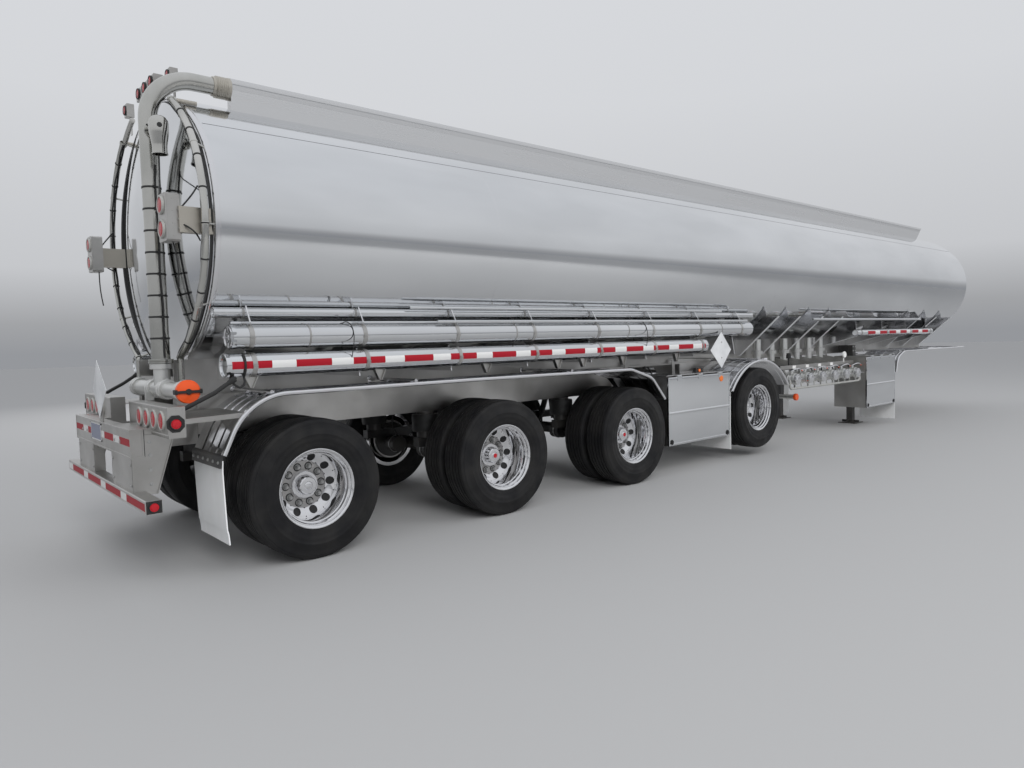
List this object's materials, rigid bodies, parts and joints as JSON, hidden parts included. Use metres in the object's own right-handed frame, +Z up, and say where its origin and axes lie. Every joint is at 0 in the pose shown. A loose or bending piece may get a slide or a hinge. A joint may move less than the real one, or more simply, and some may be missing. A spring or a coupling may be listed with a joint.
{
  "type": "tanker semi-trailer",
  "caption": "Aluminium fuel tanker semi-trailer on rolling dual wheels, with a steered lift axle, dome lids and side cabinets that open.",
  "frame": {"origin": "on the ground, midway along the trailer's overall length and on its middle plane", "axes": "+X forward to the front head, +Y to the trailer's left, +Z up"},
  "size_m": [15.5578, 2.59, 3.675],
  "materials": {
    "polished aluminium": "mirror-polished sheet",
    "satin aluminium": "mill finish, lightly weathered",
    "wheel aluminium": "machined and polished",
    "brushed pipe": "drawn pipe, dull",
    "cast fittings": "cast",
    "painted steel": "satin black, dusty",
    "red lens": "clear coloured lens",
    "white flap": "smooth, dusty",
    "tyre": "road worn"
  },
  "bodies": {
    "chassis": {"tank": "polished aluminium", "rear_ring": "polished aluminium", "rollover_rail_right": "polished aluminium", "rollover_rail_left": "polished aluminium", "dome_necks": "polished aluminium", "roof_vents": "satin aluminium", "vapour_pipe": "brushed pipe", "vapour_tee": "cast fittings", "lamp_boxes": "satin aluminium", "lamps": "red lens", "drain_loop": "brushed pipe", "rear_guard": "satin aluminium", "frame_rails": "satin aluminium", "cross_members": "satin aluminium", "coupler": "painted steel", "landing_gear": "painted steel", "hose_tubes": "polished aluminium", "side_tubes": "satin aluminium", "tube_brackets": "satin aluminium", "tridem_fenders": "polished aluminium", "single_fenders": "polished aluminium", "mud_flaps": "white flap", "cabinet_mid": "satin aluminium", "cabinet_front": "satin aluminium", "outlet_manifold": "satin aluminium", "placards": "satin aluminium", "tridem_axles": "painted steel", "lift_axle": "painted steel", "tridem_suspension": "painted steel", "lift_suspension": "painted steel"},
    "steer_right": {"knuckle_right": "painted steel"},
    "wheel_1_right": {"wheels_1_right": "wheel aluminium", "tyres_1_right": "tyre"},
    "wheel_2_right": {"wheels_2_right": "wheel aluminium", "tyres_2_right": "tyre"},
    "wheel_3_right": {"wheels_3_right": "wheel aluminium", "tyres_3_right": "tyre"},
    "wheel_4_right": {"wheels_4_right": "wheel aluminium", "tyres_4_right": "tyre"},
    "steer_left": {"knuckle_left": "painted steel"},
    "wheel_1_left": {"wheels_1_left": "wheel aluminium", "tyres_1_left": "tyre"},
    "wheel_2_left": {"wheels_2_left": "wheel aluminium", "tyres_2_left": "tyre"},
    "wheel_3_left": {"wheels_3_left": "wheel aluminium", "tyres_3_left": "tyre"},
    "wheel_4_left": {"wheels_4_left": "wheel aluminium", "tyres_4_left": "tyre"},
    "tie_rod": {"tie_rod": "painted steel"},
    "lid_1": {"dome_lid_1": "cast fittings"},
    "lid_2": {"dome_lid_2": "cast fittings"},
    "lid_3": {"dome_lid_3": "cast fittings"},
    "lid_4": {"dome_lid_4": "cast fittings"},
    "lid_5": {"dome_lid_5": "cast fittings"},
    "lid_6": {"dome_lid_6": "cast fittings"},
    "hose_lid_right": {"tube_lid_right": "satin aluminium"},
    "hose_lid_left": {"tube_lid_left": "satin aluminium"},
    "mid_door": {"cabinet_mid_door": "polished aluminium"},
    "front_door": {"cabinet_front_door": "polished aluminium"}
  },
  "joints": [
    {"name": "steer_right_kingpin", "type": "hinge", "parent": "chassis", "child": "steer_right", "pos_m": [-0.431, -0.628, 0.622], "axis": [0, 0, 1], "range_deg": [-10, 10]},
    {"name": "wheel_1_right_bearing", "type": "hinge", "parent": "chassis", "child": "wheel_1_right", "pos_m": [-6.611, -0.9965, 0.522], "axis": [0, 1, 0], "continuous": true},
    {"name": "wheel_2_right_bearing", "type": "hinge", "parent": "chassis", "child": "wheel_2_right", "pos_m": [-4.781, -0.9965, 0.522], "axis": [0, 1, 0], "continuous": true},
    {"name": "wheel_3_right_bearing", "type": "hinge", "parent": "chassis", "child": "wheel_3_right", "pos_m": [-2.951, -0.9965, 0.522], "axis": [0, 1, 0], "continuous": true},
    {"name": "wheel_4_right_bearing", "type": "hinge", "parent": "steer_right", "child": "wheel_4_right", "pos_m": [-0.431, -0.9965, 0.622], "axis": [0, 1, 0], "continuous": true},
    {"name": "steer_left_kingpin", "type": "hinge", "parent": "chassis", "child": "steer_left", "pos_m": [-0.431, 0.628, 0.622], "axis": [0, 0, 1], "range_deg": [-10, 10]},
    {"name": "wheel_1_left_bearing", "type": "hinge", "parent": "chassis", "child": "wheel_1_left", "pos_m": [-6.611, 0.9965, 0.522], "axis": [0, 1, 0], "continuous": true},
    {"name": "wheel_2_left_bearing", "type": "hinge", "parent": "chassis", "child": "wheel_2_left", "pos_m": [-4.781, 0.9965, 0.522], "axis": [0, 1, 0], "continuous": true},
    {"name": "wheel_3_left_bearing", "type": "hinge", "parent": "chassis", "child": "wheel_3_left", "pos_m": [-2.951, 0.9965, 0.522], "axis": [0, 1, 0], "continuous": true},
    {"name": "wheel_4_left_bearing", "type": "hinge", "parent": "steer_left", "child": "wheel_4_left", "pos_m": [-0.431, 0.9965, 0.622], "axis": [0, 1, 0], "continuous": true},
    {"name": "tie_rod_eye", "type": "hinge", "parent": "steer_right", "child": "tie_rod", "pos_m": [-0.691, -0.628, 0.488], "axis": [0, 0, 1], "range_deg": [-10, 10]},
    {"name": "lid_1_hinge", "type": "hinge", "parent": "chassis", "child": "lid_1", "pos_m": [-6.29983, 0, 3.595], "axis": [0, -1, 0], "range_deg": [0, 100]},
    {"name": "lid_2_hinge", "type": "hinge", "parent": "chassis", "child": "lid_2", "pos_m": [-3.8415, 0, 3.595], "axis": [0, -1, 0], "range_deg": [0, 100]},
    {"name": "lid_3_hinge", "type": "hinge", "parent": "chassis", "child": "lid_3", "pos_m": [-1.38317, 0, 3.595], "axis": [0, -1, 0], "range_deg": [0, 100]},
    {"name": "lid_4_hinge", "type": "hinge", "parent": "chassis", "child": "lid_4", "pos_m": [1.07517, 0, 3.595], "axis": [0, -1, 0], "range_deg": [0, 100]},
    {"name": "lid_5_hinge", "type": "hinge", "parent": "chassis", "child": "lid_5", "pos_m": [3.5335, 0, 3.595], "axis": [0, -1, 0], "range_deg": [0, 100]},
    {"name": "lid_6_hinge", "type": "hinge", "parent": "chassis", "child": "lid_6", "pos_m": [5.99183, 0, 3.595], "axis": [0, -1, 0], "range_deg": [0, 100]},
    {"name": "hose_lid_right_hinge", "type": "hinge", "parent": "chassis", "child": "hose_lid_right", "pos_m": [-7.1735, -1.236, 1.65], "axis": [0, 0, 1], "range_deg": [0, 110]},
    {"name": "hose_lid_left_hinge", "type": "hinge", "parent": "chassis", "child": "hose_lid_left", "pos_m": [-7.1735, 1.236, 1.65], "axis": [0, 0, -1], "range_deg": [0, 110]},
    {"name": "mid_door_hinge", "type": "hinge", "parent": "chassis", "child": "mid_door", "pos_m": [-1.742, -1.262, 1.124], "axis": [-1, 0, 0], "range_deg": [0, 95]},
    {"name": "front_door_hinge", "type": "hinge", "parent": "chassis", "child": "front_door", "pos_m": [3.387, -1.262, 1.176], "axis": [-1, 0, 0], "range_deg": [0, 95]}
  ],
  "couplings": [
    {"joint": "steer_left_kingpin", "follows": "steer_right_kingpin", "ratio": 1},
    {"joint": "tie_rod_eye", "follows": "steer_right_kingpin", "ratio": -1}
  ]
}
